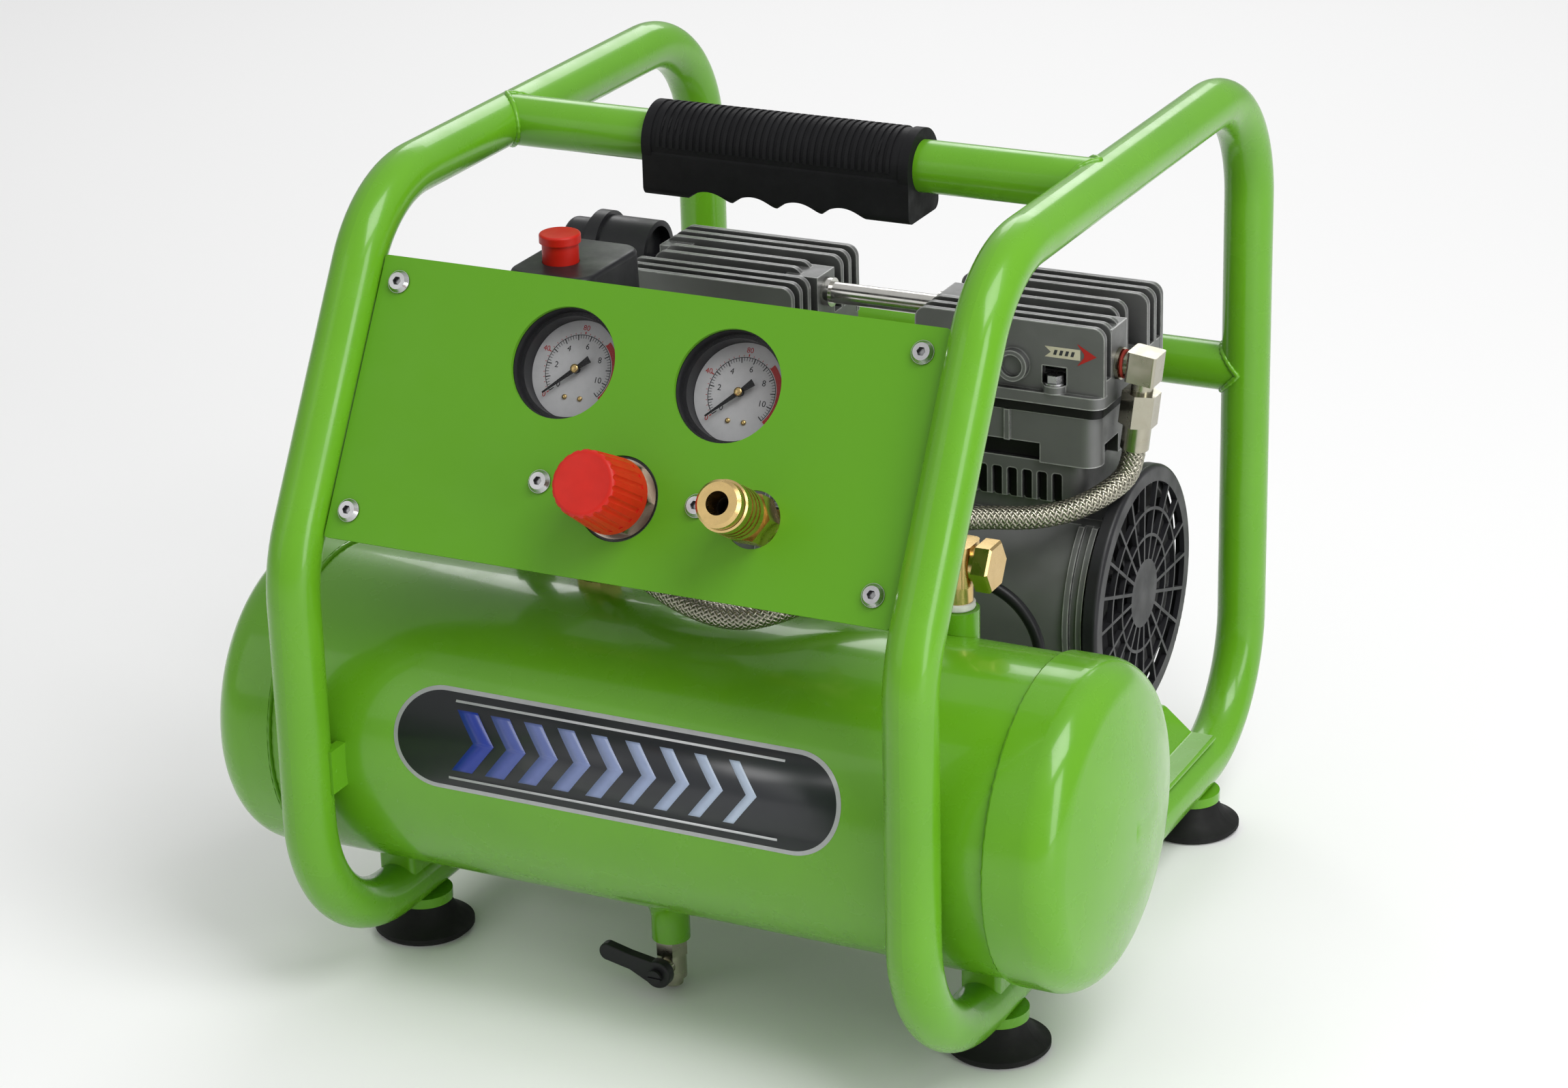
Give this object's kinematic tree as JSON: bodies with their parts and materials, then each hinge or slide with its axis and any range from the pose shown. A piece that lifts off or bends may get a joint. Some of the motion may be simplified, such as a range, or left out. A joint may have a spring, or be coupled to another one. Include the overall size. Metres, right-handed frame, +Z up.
{
  "type": "air compressor",
  "caption": "Portable oil-free air compressor: tube frame with two side loops and a handle, horizontal tank, twin-cylinder pump, front control panel.",
  "frame": {"origin": "centre of the overall box in plan, at the surface the rubber feet stand on", "axes": "+X along the tank towards the outlet elbow's end, -Y to the front with the control panel, +Z up"},
  "size_m": [0.46, 0.454, 0.4091],
  "materials": {
    "frame_paint": "gloss lime green powder coat",
    "tank_paint": "gloss lime green paint",
    "panel_paint": "satin lime green paint",
    "grip_rubber": "moulded ribbed rubber",
    "foot_rubber": "matte black rubber",
    "screw_steel": "zinc plated",
    "black_plastic": "moulded black plastic",
    "dial_white": "printed dial",
    "needle_black": "matte black",
    "gauge_glass": "clear lens",
    "red_plastic": "moulded red plastic",
    "chrome": "plated",
    "die_cast": "die-cast",
    "brass": "machined brass",
    "nickel": "nickel plated",
    "copper": "drawn copper tube",
    "cast_aluminium": "grey lacquered casting",
    "gasket_black": "black gasket",
    "bright_pipe": "polished tube",
    "braid": "stainless wire braid",
    "lead_rubber": "black cable sheath",
    "machined_steel": "machined"
  },
  "bodies": {
    "root": {"air_pipes": "brass", "braided_hose": "braid", "check_valve_body": "brass", "control_panel": "panel_paint", "coupler_body": "brass", "crankcase_left": "cast_aluminium", "crankcase_right": "cast_aluminium", "cylinder_head_left": "cast_aluminium", "cylinder_head_right": "cast_aluminium", "cylinders": "cast_aluminium", "deck_mounts": "foot_rubber", "drain_valve_body": "nickel", "fan_covers": "black_plastic", "frame_loop_left": "frame_paint", "frame_loop_right": "frame_paint", "gauge_case_left": "black_plastic", "gauge_case_right": "black_plastic", "gauge_dials": "dial_white", "gauge_lenses": "gauge_glass", "gauge_tubes": "copper", "handle_bar": "frame_paint", "handle_grip": "grip_rubber", "hose_fittings": "nickel", "intake_filter": "black_plastic", "machine_screws": "screw_steel", "manifold_block": "die_cast", "motor_bearings": "machined_steel", "motor_deck": "frame_paint", "motor_housing": "cast_aluminium", "motor_lead": "lead_rubber", "port_fitting": "brass", "pressure_switch_base": "black_plastic", "pressure_switch_cover": "black_plastic", "rear_brace": "frame_paint", "regulator_body": "die_cast", "regulator_bracket": "die_cast", "regulator_nut": "chrome", "rubber_feet": "foot_rubber", "safety_valve_body": "brass", "stator_core": "machined_steel", "tank_bungs": "tank_paint", "tank_head_left": "tank_paint", "tank_head_right": "tank_paint", "tank_shell": "tank_paint", "transfer_pipe": "bright_pipe", "valve_plates": "gasket_black", "weld_brackets": "frame_paint"},
    "crankshaft": {"motor_shaft": "machined_steel", "rotor": "machined_steel", "eccentrics": "machined_steel", "cooling_fans": "black_plastic"},
    "left_rod": {"rod_piston_left": "cast_aluminium"},
    "right_rod": {"rod_piston_right": "cast_aluminium"},
    "left_needle": {"gauge_needle_left": "needle_black"},
    "right_needle": {"gauge_needle_right": "needle_black"},
    "knob": {"regulator_knob": "red_plastic"},
    "sleeve": {"coupler_sleeve": "brass"},
    "button": {"switch_button": "red_plastic"},
    "lever": {"drain_lever": "black_plastic"},
    "safety_ring": {"safety_valve_ring": "nickel"}
  },
  "joints": [
    {"name": "motor_spin", "type": "hinge", "parent": "root", "child": "crankshaft", "pos_m": [0.0155, 0.0764, 0.158], "axis": [1, 0, 0], "continuous": true},
    {"name": "left_rod_pivot", "type": "hinge", "parent": "crankshaft", "child": "left_rod", "pos_m": [-0.068, 0.0764, 0.163], "axis": [1, 0, 0], "continuous": true},
    {"name": "right_rod_pivot", "type": "hinge", "parent": "crankshaft", "child": "right_rod", "pos_m": [0.099, 0.0764, 0.153], "axis": [1, 0, 0], "continuous": true},
    {"name": "left_needle_turn", "type": "hinge", "parent": "root", "child": "left_needle", "pos_m": [-0.04065, -0.14952, 0.32634], "axis": [0, 0.8601, -0.5101], "range_deg": [0, 264], "stiffness_Nm_per_rad": 0.001},
    {"name": "right_needle_turn", "type": "hinge", "parent": "root", "child": "right_needle", "pos_m": [0.04365, -0.14952, 0.32634], "axis": [0, 0.8601, -0.5101], "range_deg": [0, 264], "stiffness_Nm_per_rad": 0.001},
    {"name": "regulator_turn", "type": "hinge", "parent": "root", "child": "knob", "pos_m": [0.0015, -0.20324, 0.29065], "axis": [0, 0.8601, -0.5101], "range_deg": [0, 1080]},
    {"name": "coupler_sleeve_slide", "type": "slide", "parent": "root", "child": "sleeve", "axis": [0, 0.8601, -0.5101], "range_m": [0, 0.004], "stiffness_N_per_m": 600, "springref_m": -0.002},
    {"name": "switch_push", "type": "slide", "parent": "root", "child": "button", "axis": [0, 0, 1], "range_m": [-0.006, 0]},
    {"name": "drain_lever_turn", "type": "hinge", "parent": "root", "child": "lever", "pos_m": [-0.0125, -0.138, 0.0135], "axis": [0, 1, 0], "range_deg": [0, 90]},
    {"name": "safety_ring_pull", "type": "slide", "parent": "root", "child": "safety_ring", "axis": [0, 1, 0], "range_m": [0, 0.003], "stiffness_N_per_m": 800, "springref_m": -0.001}
  ],
  "couplings": [
    {"joint": "left_rod_pivot", "follows": "motor_spin", "ratio": -1},
    {"joint": "right_rod_pivot", "follows": "motor_spin", "ratio": -1}
  ]
}
